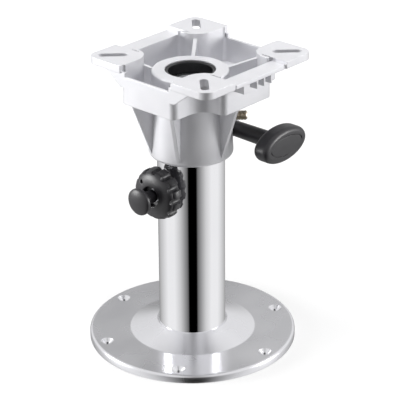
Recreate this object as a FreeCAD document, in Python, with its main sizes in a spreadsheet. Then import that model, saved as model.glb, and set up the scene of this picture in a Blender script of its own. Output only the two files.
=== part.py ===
# Boat seat pedestal: a round turned base, an outer tube with a sliding post inside it, and on the
# post a cast seat mount that swivels. A lobed knob on the tube locks the height and holds a sprung
# index pin. A T-handle on the mount's split collar locks the swivel.
# Millimetres, +Z up, origin at the centre of the base's bottom face. -Y is the knob's side.
import FreeCAD, Part
import math
import os
import re

import Sketcher
from FreeCAD import Placement, Rotation, Vector

# Driving dimensions, in millimetres, degrees and counts.
SIZES = {
    "base_radius": 114.3,         # a 9 inch base
    "base_rim_height": 9.25,
    "base_floor": 4.0,            # the tube stands on this
    "dome_radius": 69.5,          # where the flat flange turns into the cone
    "dome_height": 18.7,
    "dome_land": 2.5,             # flat lip round the tube
    "rim_rounding": 3.0,
    "rim_chamfer": 1.0,
    "anchor_inset": 13.7,         # how far the base's six screw holes stand in from its rim
    "anchor_start": -56.0,
    "anchor_hole": 3.75,
    "anchor_sink": 7.5,
    "tube_radius": 36.5,          # a 2-7/8 inch tube
    "tube_wall": 3.25,
    "tube_top": 224.0,
    "running": 0.05,              # radial clearance of what turns or slides
    "bush_length": 20.0,
    "bush_flange": 3.7,
    "flange_inset": 0.1,
    "bush_wall": 3.25,            # between the tube's bore and the post
    "post_wall": 3.0,
    "post_bottom": 20.0,
    "post_rise": 44.0,
    "groove_width": 13.0,         # keyway down the front of the post
    "groove_depth": 4.5,          # from the post's axis
    "groove_wall": 3.0,
    "index_pitch": 25.4,
    "index_hole": 3.4,
    "glide_length": 16.0,
    "glide_lip": 3.0,
    "glide_play": 0.06,
    "plug_length": 18.0,
    "plug_play": 0.05,
    "shoulder_lip": 3.0,
    "shoulder_height": 11.0,
    "washer_width": 14.0,
    "washer_height": 2.0,
    "head_pin_radius": 3.0,
    "head_pin_inset": 0.5,
    "head_pin_drop": 9.0,
    "web_lift": 0.2,              # the casting's inner web clears the thrust washer
    "web_height": 5.0,
    "cup_floor": 3.0,
    "cup_step": 8.05,
    "cup_wall": 3.4,
    "cup_rise": 23.5,
    "nut_step": 3.0,
    "nut_height": 11.5,
    "nut_tooth": 1.0,
    "nut_teeth": 40,
    "stud_step": 3.0,
    "stud_inset": 1.2,
    "tray_offset": 15.45,         # the seat plate sits this far behind the tube's axis
    "tray_lift": 3.8,
    "tray_floor": 3.0,
    "tray_wall": 3.2,
    "arm_width": 38.5,            # half width of the tray's front and back arms
    "arm_reach": 81.7,
    "side_width": 38.5,           # half width of its side arms
    "side_reach": 67.5,
    "notch_rounding": 19.0,
    "corner_rounding": 7.5,
    "wall_drop": 12.06,           # low front and back walls
    "rail_drop": 4.06,
    "rail_height": 4.2,
    "rail_reach": 84.0,
    "ear_lift": 42.06,
    "ear_height": 8.0,
    "ear_inner_x": 36.0,
    "ear_inner_y": 40.5,
    "ear_reach_x": 85.0,
    "ear_reach_y": 84.0,
    "ear_tip_rounding": 12.0,
    "slot_centre": 64.7,
    "slot_width": 9.0,
    "slot_length": 30.8,
    "stiffener_reach": 59.0,
    "stiffener_drop": 16.0,
    "rear_stiffener_reach": 46.0,
    "rear_stiffener_drop": 7.0,
    "fin_height": 9.5,
    "fin_wall": 2.2,
    "fin_pitch": 11.0,
    "fin_start": -5.0,
    "fin_block": 9.4,             # the wide fin before the others
    "tick_width": 2.2,            # small grooves in the rail's edge beside the ears
    "tick_depth": 2.0,
    "ring_inset": 4.6,
    "ring_drop": 13.31,
    "ring_rounding": 2.5,
    "collar_wall": 10.6,
    "collar_lap": 4.5,            # the collar's skirt laps over the tube's top
    "collar_rounding": 3.5,
    "skirt_play": 1.5,            # clears the outer tube's top
    "skirt_depth": 8.5,
    "sleeve_wall": 5.0,
    "chamber_play": 0.6,
    "gusset_wall": 4.2,
    "gusset_angle": 25.5,
    "gusset_inset": 5.7,          # the front gussets end short of the tray's wall
    "rear_angle": 14.0,
    "gusset_rise": 2.0,
    "rear_rise": 15.0,            # keeps the rear gussets off the clamp screw
    "spoke_wall": 4.0,
    "spoke_drop": 5.1,
    "front_spoke_drop": 9.4,
    "split_width": 3.0,
    "lug_width": 30.0,
    "lug_nose": 9.0,
    "lug_below": 10.0,
    "lug_above": 11.0,
    "lug_rounding": 5.0,
    "split_above": 26.0,
    "clamp_out": 15.0,
    "clamp_rise": 16.5,
    "clamp_screw_radius": 5.0,
    "clamp_hole": 5.3,
    "clamp_tail": 25.0,
    "clamp_nut_radius": 9.5,
    "clamp_nut_height": 8.0,
    "clamp_washer_radius": 10.0,
    "clamp_washer_height": 2.0,
    "spot_face": 0.6,             # room round the washer where the collar is faced off
    "spot_depth": 14.0,
    "shank_radius": 8.5,
    "paddle_centre": 82.0,
    "paddle_height": 19.0,
    "paddle_long": 32.5,
    "paddle_short": 17.5,
    "paddle_rounding": 5.5,
    "paddle_tilt": 2.0,
    "inlay_long": 24.0,           # oval cap in the paddle's face
    "inlay_short": 10.0,
    "inlay_depth": 1.0,
    "inlay_proud": 0.8,
    "inlay_rounding": 0.6,
    "stop_screw_radius": 5.4,
    "stop_rise": 41.5,
    "stop_screw_angle": 42.5,
    "stop_proud": 14.4,
    "stop_socket": 2.6,
    "lock_drop": 36.0,
    "boss_radius": 12.0,
    "boss_depth": 3.9,
    "boss_height": 7.5,
    "pad_radius": 5.95,
    "pad_gap": 0.1,
    "pad_length": 7.9,
    "pin_radius": 3.0,
    "pin_gap": 0.3,
    "pin_reach": 24.0,
    "pin_collar": 5.2,
    "pin_collar_height": 2.5,
    "screw_radius": 8.0,
    "screw_bore": 5.5,
    "screw_floor": 2.5,
    "screw_head": 11.0,
    "screw_head_height": 5.0,
    "knob_gap": 0.3,
    "knob_height": 12.0,
    "knob_core": 27.4,
    "lobe_radius": 5.4,
    "lobe_count": 12,
    "knob_reach": 30.8,
    "cap_height": 7.0,
    "cap_radius": 29.0,
    "cap_rounding": 4.5,
    "recess_radius": 11.6,
    "witness_radius": 2.4,
    "witness_depth": 3.0,
    "witness_place": 18.2,
    "witness_angle": 145.0,
    "plug_ring_height": 3.0,
    "wire_radius": 0.5,
    "coil_radius": 4.3,
    "coil_pitch": 2.3,
    "button_radius": 14.5,
    "button_stand": 28.0,
    "button_height": 15.0,
    "button_rounding": 8.0,
    "button_heel": 2.5,
    "neck_radius": 7.0,
    "neck_length": 12.0,
}

# Heights and reaches that follow from others: each word stands for its own expression.
LEVELS = {
    "anchor_circle": "base_radius - anchor_inset",
    "lock_height": "tube_top - lock_drop",
    "collar_bottom": "tube_top - collar_lap",
    "gusset_foot": "collar_bottom + gusset_rise",
    "clamp_height": "collar_bottom + clamp_rise",
    "lug_bottom": "clamp_height - lug_below",
    "lug_top": "clamp_height + lug_above",
    "rear_foot": "clamp_height + rear_rise",
    "split_top": "clamp_height + split_above",
    "stop_screw_height": "collar_bottom + stop_rise",
    "post_top": "tube_top + post_rise",
    "sleeve_top": "post_top",
    "shoulder_top": "post_top + shoulder_height",
    "web_bottom": "shoulder_top + washer_height + web_lift",
    "tray_bottom": "web_bottom + tray_lift",
    "ear_top": "tray_bottom + ear_lift",
    "rail_top": "ear_top - rail_drop",
    "wall_top": "ear_top - wall_drop",
    "spoke_top": "ear_top - spoke_drop",
    "ring_top": "ear_top - ring_drop",
    "post_radius": "tube_radius - tube_wall - bush_wall",
    "groove_floor": "post_radius - groove_depth",
    "shoulder_radius": "post_radius + shoulder_lip",
    "sleeve_bore": "post_radius + sleeve_wall",
    "chamber_bore": "shoulder_radius + chamber_play",
    "skirt_bore": "tube_radius + skirt_play",
    "collar_radius": "sleeve_bore + collar_wall",
    "ring_radius": "collar_radius - ring_inset",
    "bore_radius": "cup_radius + running",
    "boss_inner": "tube_radius - boss_depth",
    "boss_outer": "tube_radius + boss_height",
    "clamp_offset": "sleeve_bore + clamp_out",
    "lug_reach": "clamp_offset + lug_nose",
    "stop_screw_tip": "collar_radius + stop_proud",
    "pin_end": "boss_outer + pin_reach",
    "button_back": "boss_outer + button_stand",
    "neck_start": "button_back - neck_length",
    "spigot_radius": "shoulder_radius - washer_width",
    "stud_radius": "spigot_radius - stud_step",
    "nut_radius": "spigot_radius + nut_step",
    "cup_radius": "spigot_radius + cup_step",
}

doc = FreeCAD.newDocument("pedestal")
sheet = doc.addObject("Spreadsheet::Sheet", "Dims")
for row, (alias, size) in enumerate(SIZES.items(), 1):
    sheet.set(f"A{row}", alias)
    sheet.set(f"B{row}", str(size))
    sheet.setAlias(f"B{row}", alias)
doc.recompute()

ANCHORS = 6
FIN_COUNT = 3
INDEX_HOLES = 5
EARS = [(1, 1), (1, -1), (-1, 1), (-1, -1)]
FRONT, RIGHT, BACK, LEFT = -90, 0, 90, 180      # ways out from the tube's axis, in degrees
ALONG_LOCK = Rotation(Vector(1, 0, 0), 90)      # local Z becomes -Y, the height lock's axis
ALONG_CLAMP = Rotation(Vector(0, 1, 0), 90)     # local Z becomes +X, the swivel lock's axis
parts = []


def bound(text):
    """Turns words such as tube_radius - tube_wall into an expression on the sheet."""
    return re.sub("[a-z_]+", meaning, str(text))


def meaning(word):
    if word[0] in LEVELS:
        return f"({bound(LEVELS[word[0]])})"
    return "Dims." + word[0] if word[0] in SIZES else word[0]


def size_of(text):
    """The number that an expression on the sheet gives now."""
    return float(sheet.evalExpression(bound(text)))


def bind(item, **sizes):
    for name, text in sizes.items():
        item.setExpression(name, bound(text))
    return item


def put(item, at=(0, 0, 0), turn=None):
    """Places an item: its base point follows the sheet, its turn is fixed."""
    if turn:
        item.Placement = Placement(Vector(), turn)
    for axis, text in zip("xyz", at):
        item.setExpression("Placement.Base." + axis, bound(text))
    return item


def box(low, high):
    item = doc.addObject("Part::Box", "block")
    sides = dict(zip(("Length", "Width", "Height"), (f"({b}) - ({a})" for a, b in zip(low, high))))
    return put(bind(item, **sides), low)


def rod(radius, bottom, top, at=("0", "0"), turn=None):
    item = bind(doc.addObject("Part::Cylinder", "rod"), Radius=radius, Height=f"({top}) - ({bottom})")
    return put(item, (at[0], at[1], bottom), turn)


def fuse(*items):
    item = doc.addObject("Part::MultiFuse", "joined")
    item.Shapes = list(items)
    return item


def cut(base, *tools):
    item = doc.addObject("Part::Cut", "cut")
    item.Base = base
    item.Tool = tools[0] if len(tools) == 1 else fuse(*tools)
    return item


def rounded(base, radius, wanted):
    """Rounds the edges of base that wanted(edge) picks."""
    doc.recompute()
    item = doc.addObject("Part::Fillet", "rounded")
    item.Base = base
    radius = size_of(radius)
    item.Edges = [(n, radius, radius) for n, edge in enumerate(base.Shape.Edges, 1) if wanted(edge)]
    if not item.Edges:
        raise ValueError(f"no edge of {base.Name} to round by {radius}")
    doc.recompute()
    return item


def draw(sketch, points):
    """A closed outline in a sketch, each corner held by two dimensions bound to the sheet."""
    corners = [Vector(size_of(x), size_of(y), 0) for x, y in points]
    for n, corner in enumerate(corners):
        sketch.addGeometry(Part.LineSegment(corner, corners[(n + 1) % len(corners)]))
    for n, (x, y) in enumerate(points):
        sketch.addConstraint(Sketcher.Constraint("Coincident", n - 1 if n else len(points) - 1, 2, n, 1))
        for kind, text, axis in (("DistanceX", x, -2), ("DistanceY", y, -1)):
            if size_of(text) == 0:
                sketch.addConstraint(Sketcher.Constraint("PointOnObject", n, 1, axis))
                continue
            held = sketch.addConstraint(Sketcher.Constraint(kind, -1, 1, n, 1, size_of(text)))
            sketch.setExpression(f"Constraints[{held}]", bound(text))
    return sketch


def plane(body, role):
    return next(item for item in body.Origin.OriginFeatures if item.Role == role)


def turned(name, profile, at=("0", "0", "0"), turn=None):
    """A body turned about its own Z axis from (radius, height) corners."""
    body = doc.addObject("PartDesign::Body", name)
    sketch = body.newObject("Sketcher::SketchObject", name + "_profile")
    sketch.AttachmentSupport = (plane(body, "XZ_Plane"), [""])
    sketch.MapMode = "FlatFace"
    draw(sketch, profile)
    spin = body.newObject("PartDesign::Revolution", name + "_turning")
    spin.Profile = sketch
    spin.ReferenceAxis = (sketch, ["V_Axis"])
    spin.Angle = 360
    sketch.Visibility = False
    put(body, at, turn)
    doc.recompute()
    return body


def soften(body, radius, *rings):
    """Rounds a turned body's circular edges, each given as (radius, height) in the body's frame."""
    doc.recompute()
    base = body.Tip
    wanted = [(round(size_of(r), 4), round(size_of(z), 4)) for r, z in rings]
    names = [f"Edge{n}" for n, edge in enumerate(base.Shape.Edges, 1) if ring_of(edge) in wanted]
    if not names:
        raise ValueError(f"no ring of {body.Name} to round by {radius}")
    fillet = body.newObject("PartDesign::Fillet", body.Name + "_rounding")
    fillet.Base = (base, names)
    bind(fillet, Radius=radius)
    doc.recompute()
    return body


def ring_of(edge):
    """A full circle's radius and height, rounded as the sheet's own numbers are."""
    if not isinstance(edge.Curve, Part.Circle):
        return None
    return round(edge.Curve.Radius, 4), round(edge.Curve.Center.z, 4)


def slab(outline, wall, angle=0, at=("0", "0", "0")):
    """A plate of even thickness in the upright plane that leaves the Z axis at this angle."""
    sketch = draw(doc.addObject("Sketcher::SketchObject", "outline"), outline)
    put(sketch, at, Rotation(Vector(0, 0, 1), angle) * Rotation(Vector(1, 0, 0), 90))
    item = doc.addObject("Part::Extrusion", "slab")
    item.Base = sketch
    item.DirMode = "Normal"
    item.Solid = True
    item.Symmetric = True
    return bind(item, LengthFwd=wall)


def finished(item, label):
    item.Label = label
    parts.append(item)
    return item


# Base: one turned plate with a coned hub, and six countersunk screw holes.

def base_plate():
    disc = turned("base_disc", [
        ("0", "0"),
        ("base_radius", "0"),
        ("base_radius", "base_rim_height"),
        ("dome_radius", "base_rim_height - 0.5"),
        ("tube_radius + dome_land", "dome_height"),
        ("tube_radius", "dome_height"),
        ("tube_radius", "base_floor"),
        ("0", "base_floor"),
    ])
    soften(disc, "rim_rounding", ("base_radius", "base_rim_height"))
    soften(disc, "rim_chamfer", ("base_radius", "0"))
    drills = []
    for n in range(ANCHORS):
        angle = math.radians(size_of("anchor_start") + n * 360 / ANCHORS)
        at = (f"anchor_circle * {math.cos(angle)}", f"anchor_circle * {math.sin(angle)}")
        drills.append(rod("anchor_hole", "-1", "base_rim_height + 1", at))
        sink = doc.addObject("Part::Cone", "countersink")
        bind(sink, Radius1=0, Radius2="anchor_sink + 0.5", Height="anchor_sink + 0.5")
        drills.append(put(sink, at + ("base_rim_height - anchor_sink",)))
    finished(cut(disc, *drills), "base_plate")


# Outer tube, its bush at the top and the threaded boss that the lock's screw runs in.

def outer_tube():
    wall = turned("tube_wall_body", [
        ("tube_radius - tube_wall", "base_floor"),
        ("tube_radius", "base_floor"),
        ("tube_radius", "tube_top"),
        ("tube_radius - tube_wall", "tube_top"),
    ])
    hole = rod("boss_radius", "0", "tube_radius + 5", turn=ALONG_LOCK)
    put(hole, ("0", "0", "lock_height"))
    finished(cut(wall, hole), "outer_tube")


def guide_bush():
    bush = turned("guide_bush", [
        ("post_radius + running", "tube_top - bush_length"),
        ("tube_radius - tube_wall", "tube_top - bush_length"),
        ("tube_radius - tube_wall", "tube_top"),
        ("tube_radius - flange_inset", "tube_top"),
        ("tube_radius - flange_inset", "tube_top + bush_flange"),
        ("post_radius + running", "tube_top + bush_flange"),
    ])
    soften(bush, "0.8", ("tube_radius - flange_inset", "tube_top + bush_flange"))
    finished(bush, "guide_bush")


def lock_boss():
    boss = turned("lock_boss", [
        ("screw_radius + running", "boss_inner"),
        ("boss_radius", "boss_inner"),
        ("boss_radius", "boss_outer"),
        ("screw_radius + running", "boss_outer"),
    ], ("0", "0", "lock_height"), ALONG_LOCK)
    soften(boss, "1", ("boss_radius", "boss_outer"))
    finished(boss, "lock_boss")


# Sliding post: a tube with a keyway down its front, a glide at its foot and a head at its top.

def inner_post():
    keyway = ("-(groove_width / 2)", "-(post_radius + 1)", "post_bottom")
    skin = rod("post_radius", "post_bottom", "post_top")
    core = rod("post_radius - post_wall", "post_bottom - 1", "post_top + 1")
    rib = box(("-(groove_width / 2 + groove_wall)", "-(post_radius - post_wall / 2)", "post_bottom"),
              ("groove_width / 2 + groove_wall", "groove_wall - groove_floor", "post_top"))
    groove = box(("-(groove_width / 2)", "-(post_radius + 1)", "post_bottom - 1"),
                 ("groove_width / 2", "-groove_floor", "post_top + 1"))
    holes = []
    for n in range(INDEX_HOLES):
        hole = rod("index_hole", "0", "post_radius", turn=ALONG_LOCK)
        holes.append(put(hole, ("0", "0", f"lock_height - index_pitch * {n + 0.5}")))
    pin_hole = rod("head_pin_radius", "-post_radius - 1", "post_radius + 1", turn=ALONG_CLAMP)
    put(pin_hole, ("-post_radius - 1", "0", "post_top - head_pin_drop"))
    finished(cut(fuse(cut(skin, core), rib), groove, *holes, pin_hole), "inner_post")


def post_glide():
    finished(turned("post_glide", [
        ("post_radius - post_wall", "post_bottom - glide_lip"),
        ("tube_radius - tube_wall - glide_play", "post_bottom - glide_lip"),
        ("tube_radius - tube_wall - glide_play", "post_bottom + glide_length"),
        ("post_radius", "post_bottom + glide_length"),
        ("post_radius", "post_bottom"),
        ("post_radius - post_wall", "post_bottom"),
    ]), "post_glide")


def post_head():
    head = turned("head_turning", [
        ("0", "post_top - plug_length"),
        ("post_radius - post_wall - plug_play", "post_top - plug_length"),
        ("post_radius - post_wall - plug_play", "post_top"),
        ("shoulder_radius", "post_top"),
        ("shoulder_radius", "shoulder_top"),
        ("spigot_radius", "shoulder_top"),
        ("spigot_radius", "web_bottom + web_height + cup_floor"),
        ("stud_radius", "web_bottom + web_height + cup_floor"),
        ("stud_radius", "web_bottom + web_height + cup_floor + nut_height - stud_inset"),
        ("0", "web_bottom + web_height + cup_floor + nut_height - stud_inset"),
    ])
    keyway = box(("-(groove_width / 2 + groove_wall + 0.1)", "-post_radius", "post_top - plug_length - 1"),
                 ("groove_width / 2 + groove_wall + 0.1", "groove_wall - groove_floor + 0.1", "post_top"))
    pin_hole = rod("head_pin_radius", "0", "post_radius * 2", turn=ALONG_CLAMP)
    put(pin_hole, ("-post_radius", "0", "post_top - head_pin_drop"))
    finished(cut(head, keyway, pin_hole), "post_head")


def head_pin():
    pin = rod("head_pin_radius", "0", "2 * (post_radius - head_pin_inset)", turn=ALONG_CLAMP)
    finished(put(pin, ("-(post_radius - head_pin_inset)", "0", "post_top - head_pin_drop")), "head_pin")


def thrust_washer():
    finished(turned("thrust_washer", [
        ("spigot_radius + running", "shoulder_top"),
        ("shoulder_radius", "shoulder_top"),
        ("shoulder_radius", "shoulder_top + washer_height"),
        ("spigot_radius + running", "shoulder_top + washer_height"),
    ]), "thrust_washer")


def top_bush():
    """A black plastic cup in the mount's ring: it turns on the ring's bore and holds the nut."""
    floor = "web_bottom + web_height + running"
    finished(turned("top_bush", [
        ("spigot_radius + running", floor),
        ("cup_radius", floor),
        ("cup_radius", floor + " + cup_rise"),
        ("cup_radius - cup_wall", floor + " + cup_rise"),
        ("cup_radius - cup_wall - 0.4", floor + " + cup_floor"),
        ("spigot_radius + running", floor + " + cup_floor"),
    ]), "top_bush")


def retaining_nut():
    """A round nut with a toothed rim, seen down the mount's ring."""
    floor = "web_bottom + web_height + running + cup_floor"
    body = turned("nut_turning", [
        ("stud_radius + running", floor),
        ("nut_radius", floor),
        ("nut_radius", floor + " + nut_height"),
        ("stud_radius + running", floor + " + nut_height"),
    ])
    teeth = []
    for n in range(SIZES["nut_teeth"]):
        angle = 2 * math.pi * n / SIZES["nut_teeth"]
        at = (f"nut_radius * {math.cos(angle)}", f"nut_radius * {math.sin(angle)}")
        teeth.append(rod("nut_tooth", floor + " - 1", floor + " + nut_height + 1", at))
    finished(cut(body, *teeth), "retaining_nut")


# Seat mount: one casting with the split collar, the ribbed tray, the rails and four slotted ears.

def cross(extra, low, high):
    """The tray's plan, a cross with rounded corners, grown by extra."""
    arms = box((f"-(arm_width + {extra})", f"tray_offset - arm_reach - ({extra})", low),
               (f"arm_width + {extra}", f"tray_offset + arm_reach + {extra}", high))
    sides = box((f"-(side_reach + {extra})", f"tray_offset - side_width - ({extra})", low),
                (f"side_reach + {extra}", f"tray_offset + side_width + {extra}", high))
    inner = (size_of(f"arm_width + {extra}"), size_of(f"side_width + {extra}"))

    def in_notch(edge):
        x, y = plan_of(edge)
        return upright(edge) and abs(abs(x) - inner[0]) < 0.01 and abs(abs(y) - inner[1]) < 0.01

    def at_corner(edge):
        return upright(edge) and edge.Length > 1 and sharp(edge) and not in_notch(edge)

    def sharp(edge):
        x, y = plan_of(edge)
        ends = ((size_of(f"arm_width + {extra}"), size_of(f"arm_reach + {extra}")),
                (size_of(f"side_reach + {extra}"), size_of(f"side_width + {extra}")))
        return any(abs(abs(x) - a) < 0.01 and abs(abs(y) - b) < 0.01 for a, b in ends)

    joined = doc.addObject("Part::MultiFuse", "cross")
    joined.Shapes = [arms, sides]
    joined.Refine = True
    # A wall of even thickness turns its inner side round the notch on a larger radius.
    notched = rounded(joined, f"notch_rounding - ({extra})", in_notch)
    return rounded(notched, f"corner_rounding + {extra}", at_corner)


def plan_of(edge):
    """Where an upright edge stands, from the tray's centre."""
    point = edge.Vertexes[0].Point
    return point.x, point.y - size_of("tray_offset")


def upright(edge):
    ends = [vertex.Point for vertex in edge.Vertexes]
    return len(ends) == 2 and math.hypot(ends[0].x - ends[1].x, ends[0].y - ends[1].y) < 1e-6


def span(side, inner, outer, shift="0"):
    """Low and high bounds of a stretch on one side of a middle plane."""
    near, far = (f"{shift} + {inner}", f"{shift} + {outer}") if side > 0 else (
        f"{shift} - ({outer})", f"{shift} - ({inner})")
    return near, far


def ear(across, along):
    x = span(across, "ear_inner_x", "ear_reach_x")
    y = span(along, "ear_inner_y", "ear_reach_y", "tray_offset")
    plate = box((x[0], y[0], "ear_top - ear_height"), (x[1], y[1], "ear_top"))
    tip = (across * size_of("ear_reach_x"), along * size_of("ear_reach_y"))

    def outer(edge):
        return upright(edge) and math.dist(plan_of(edge), tip) < 0.01

    return rounded(plate, "ear_tip_rounding", outer)


def seat_slot(across, along):
    """A slot that points at the plate's centre, cut through an ear."""
    centre = (f"{across} * slot_centre", f"tray_offset + {along} * slot_centre")
    angle = 45 * across * along
    half = "(slot_length - slot_width) / 2"
    middle = bind(doc.addObject("Part::Box", "slot"), Length="slot_length - slot_width",
                  Width="slot_width", Height="ear_height + 2")
    lean = (math.cos(math.radians(angle)), math.sin(math.radians(angle)))
    corner = (f"{centre[0]} - {lean[0]} * {half} + {lean[1]} * slot_width / 2",
              f"{centre[1]} - {lean[1]} * {half} - {lean[0]} * slot_width / 2",
              "ear_top - ear_height - 1")
    put(middle, corner, Rotation(Vector(0, 0, 1), angle))
    ends = [rod("slot_width / 2", "ear_top - ear_height - 1", "ear_top + 1",
                (f"{centre[0]} + {sign * lean[0]} * {half}", f"{centre[1]} + {sign * lean[1]} * {half}"))
            for sign in (-1, 1)]
    return [middle] + ends


def rail(across):
    """The flange along one side of the tray, with the fins that stiffen it from below."""
    x = span(across, "side_reach - tray_wall", "rail_reach")
    flange = box((x[0], "tray_offset - ear_inner_y - 1", "rail_top - rail_height"),
                 (x[1], "tray_offset + ear_inner_y + 1", "rail_top"))
    pieces = [flange]
    x = span(across, "side_reach - 1", "rail_reach - 1")
    for n in range(FIN_COUNT):
        y = f"tray_offset + fin_start + fin_pitch * {n}"
        pieces.append(box((x[0], y, "rail_top - rail_height - fin_height"),
                          (x[1], y + " + fin_wall", "rail_top - 1")))
    y = "tray_offset + fin_start - fin_pitch"
    pieces.append(box((x[0], y + " - fin_block", "rail_top - rail_height - fin_height"),
                      (x[1], y, "rail_top - 1")))
    return pieces


def tick(across, along):
    """A small groove up the rail's edge, beside an ear."""
    x = span(across, "rail_reach - tick_depth", "rail_reach + 1")
    y = span(along, "ear_inner_y - tick_width - 0.5", "ear_inner_y - 0.5", "tray_offset")
    return box((x[0], y[0], "rail_top - rail_height - 1"), (x[1], y[1], "rail_top + 1"))


def stiffener(across, along):
    """The triangle under an ear, in line with the tray's low wall."""
    drop, reach = ("stiffener_drop", "stiffener_reach") if along < 0 else (
        "rear_stiffener_drop", "rear_stiffener_reach")
    inner = "arm_width - corner_rounding"
    outline = [(inner, "ear_top - ear_height + 1"),
               (inner, f"ear_top - ear_height - {drop}"),
               ("arm_width", f"ear_top - ear_height - {drop}"),
               (reach, "ear_top - ear_height"),
               (reach, "ear_top - ear_height + 1")]
    y = f"tray_offset + {along} * (arm_reach - tray_wall / 2)"
    return slab(outline, "tray_wall", 0 if across > 0 else 180, ("0", y, "0"))


def gusset(angle, reach, foot="gusset_foot"):
    """A triangle from the collar's foot out to a wall of the tray."""
    outline = [("sleeve_bore + 2", foot),
               ("collar_radius - 1.5", foot),
               (reach, "tray_bottom"),
               (reach, "tray_bottom + 1"),
               ("sleeve_bore + 2", "tray_bottom + 1")]
    return slab(outline, "gusset_wall", angle)


def spoke(across, along):
    """A rib in the tray from the ring up to the round of a notch."""
    x = size_of("arm_width + notch_rounding")
    y = size_of("side_width + notch_rounding") * along + size_of("tray_offset")
    reach = math.hypot(x, y) - size_of("notch_rounding + tray_wall / 2")
    top = "spoke_top" if along > 0 else "ear_top - front_spoke_drop"
    outline = [("bore_radius + 3", "tray_bottom + 1"),
               (str(reach), "tray_bottom + 1"),
               (str(reach), top),
               ("ring_radius - 3", "ring_top - 1"),
               ("bore_radius + 3", "ring_top - 1")]
    return slab(outline, "spoke_wall", math.degrees(math.atan2(y, across * x)))


def collar():
    neck = turned("collar_turning", [
        ("bore_radius", "collar_bottom"),
        ("collar_radius", "collar_bottom"),
        ("ring_radius", "ring_top"),
        ("bore_radius", "ring_top"),
    ])
    soften(neck, "ring_rounding", ("ring_radius", "ring_top"))
    return soften(neck, "collar_rounding", ("collar_radius", "collar_bottom"))


def seat_mount():
    pan = cut(cross("0", "tray_bottom", "ear_top"),
              cross("-tray_wall", "tray_bottom + tray_floor", "ear_top + 1"))
    trims = []
    for side in (1, -1):
        x = span(side, "side_reach - tray_wall - 1", "side_reach + 1")
        trims.append(box((x[0], "tray_offset - ear_inner_y + 2", "rail_top"),
                         (x[1], "tray_offset + ear_inner_y - 2", "ear_top + 1")))
        y = span(side, "arm_reach - tray_wall - 1", "arm_reach + 1", "tray_offset")
        trims.append(box(("-ear_inner_x", y[0], "wall_top"), ("ear_inner_x", y[1], "ear_top + 1")))
    outer = [cut(pan, *trims), collar()]
    outer += [piece for side in (1, -1) for piece in rail(side)]
    outer += [stiffener(*place) for place in EARS] + [spoke(*place) for place in EARS]
    lean, back_lean = "gusset_angle", "rear_angle"
    front = f"(arm_reach - tray_offset - gusset_inset) / {math.cos(math.radians(size_of(lean)))}"
    back = f"(arm_reach + tray_offset - tray_wall / 2) / {math.cos(math.radians(size_of(back_lean)))}"
    for sign in (-1, 1):
        outer.append(gusset(FRONT + sign * size_of(lean), front))
        outer.append(gusset(BACK + sign * size_of(back_lean), back, "rear_foot"))
    for angle in (RIGHT, LEFT):
        outer.append(gusset(angle, "side_reach - tray_wall / 2"))
    lugs = box(("-lug_width / 2", "sleeve_bore + 1", "lug_bottom"), ("lug_width / 2", "lug_reach", "lug_top"))
    outer.append(rounded(lugs, "lug_rounding", at_lug_nose))
    body = fuse(*outer)

    ears = []
    for place in EARS:
        pocket = cross("-tray_wall", "ear_top - ear_height - 1", "ear_top + 1")
        ears.append(cut(ear(*place), pocket))
    holes = [
        rod("skirt_bore", "collar_bottom - 1", "collar_bottom + skirt_depth"),
        rod("sleeve_bore", "collar_bottom", "sleeve_top"),
        rod("chamber_bore", "collar_bottom", "web_bottom"),
        rod("spigot_radius + 1", "web_bottom - 1", "ear_top"),
        rod("bore_radius", "web_bottom + web_height", "ear_top"),
        box(("-split_width / 2", "sleeve_bore - 6", "collar_bottom - 1"),
            ("split_width / 2", "lug_reach + 1", "split_top")),
    ]
    screw_hole = rod("clamp_hole", "0", "lug_width + 2", turn=ALONG_CLAMP)
    holes.append(put(screw_hole, ("-lug_width / 2 - 1", "clamp_offset", "clamp_height")))
    for side in ("lug_width / 2", "-lug_width / 2 - spot_depth"):
        spot = rod("clamp_washer_radius + spot_face", "0", "spot_depth", turn=ALONG_CLAMP)
        holes.append(put(spot, (side, "clamp_offset", "clamp_height")))
    stop = rod("stop_screw_radius", "0", "stop_screw_tip - sleeve_bore + 2", turn=stop_turn())
    holes.append(put(stop, stop_place("sleeve_bore - 2")))
    for place in EARS:
        holes += seat_slot(*place)
        holes.append(tick(*place))
    finished(cut(fuse(body, *ears), *holes), "seat_mount")


def at_lug_nose(edge):
    """The lugs' outer edges along X."""
    ends = [vertex.Point for vertex in edge.Vertexes]
    return abs(ends[0].x - ends[1].x) > 1 and min(end.y for end in ends) > size_of("lug_reach") - 0.01


def stop_turn():
    """Turns local Z to point out from the collar, level, at the stop screw's angle."""
    return Rotation(Vector(0, 0, 1), size_of("stop_screw_angle")) * ALONG_CLAMP


def stop_place(distance):
    angle = math.radians(size_of("stop_screw_angle"))
    return (f"({distance}) * {math.cos(angle)}", f"({distance}) * {math.sin(angle)}", "stop_screw_height")


def sleeve_bush():
    """A split plastic sleeve that the collar squeezes onto the post."""
    sleeve = turned("sleeve_turning", [
        ("post_radius + running", "collar_bottom + skirt_depth + 0.5"),
        ("sleeve_bore", "collar_bottom + skirt_depth + 0.5"),
        ("sleeve_bore", "sleeve_top"),
        ("post_radius + running", "sleeve_top"),
    ])
    split = box(("-split_width / 2", "0", "collar_bottom"), ("split_width / 2", "sleeve_bore + 1", "sleeve_top + 1"))
    finished(cut(sleeve, split), "sleeve_bush")


def stop_screw():
    """A threaded stop in the collar's side, its end against the sleeve."""
    screw = rod("stop_screw_radius", "0", "stop_screw_tip - sleeve_bore", turn=stop_turn())
    put(screw, stop_place("sleeve_bore"))
    socket = rod("stop_socket", "0", "stop_socket * 2", turn=stop_turn())
    put(socket, stop_place("stop_screw_tip - stop_socket"))
    finished(cut(screw, socket), "stop_screw")


# Swivel lock: a screw across the split collar, turned by a T-handle.

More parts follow.
